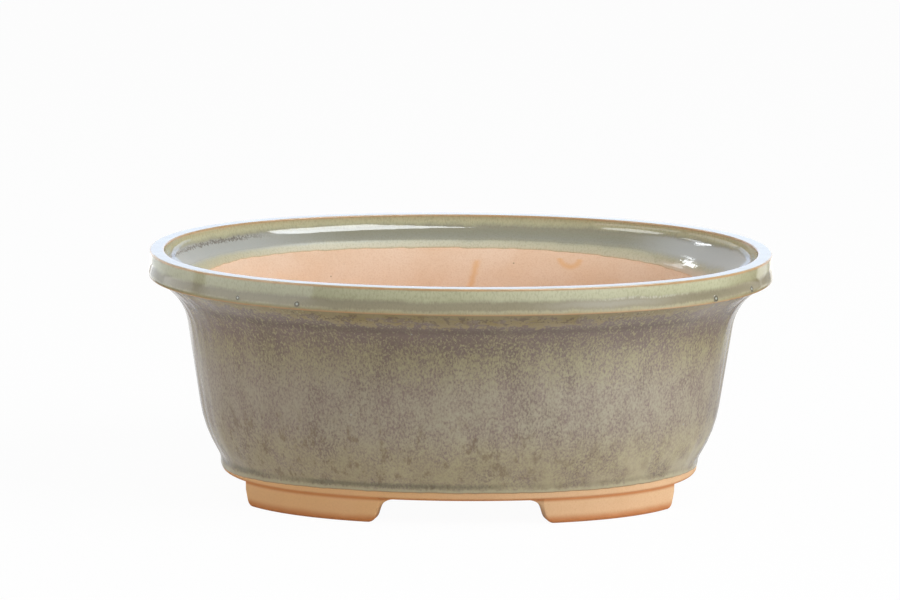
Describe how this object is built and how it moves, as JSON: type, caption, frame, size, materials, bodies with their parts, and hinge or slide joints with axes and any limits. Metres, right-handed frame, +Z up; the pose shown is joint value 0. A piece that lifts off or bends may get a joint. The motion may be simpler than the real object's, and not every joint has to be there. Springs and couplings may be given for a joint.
{
  "type": "oval bonsai pot",
  "caption": "Oval stoneware bonsai pot with a flared wall, a banded rim, glaze outside and over the rim, bare clay inside, drainage holes and arc feet.",
  "frame": {"origin": "on the ground below the middle of the pot", "axes": "+X along the pot's length, +Y across it towards the back, +Z up"},
  "size_m": [0.3024, 0.2364, 0.1186],
  "materials": {
    "bare_clay": "unglazed buff-orange stoneware, fine sandy grain, matt",
    "wall_glaze": "glossy purple-brown ground broken by fine olive-green flecks and runs",
    "rim_glaze": "glossy pale olive green with a darker streaked band, thin and tan on the sharp edges"
  },
  "bodies": {
    "root": {"floor_slab": "bare_clay", "side_wall": "bare_clay", "rim_band": "bare_clay", "foot_front_left": "bare_clay", "foot_front_right": "bare_clay", "foot_back_left": "bare_clay", "foot_back_right": "bare_clay", "wall_glaze": "wall_glaze", "rim_glaze": "rim_glaze"}
  },
  "joints": []
}
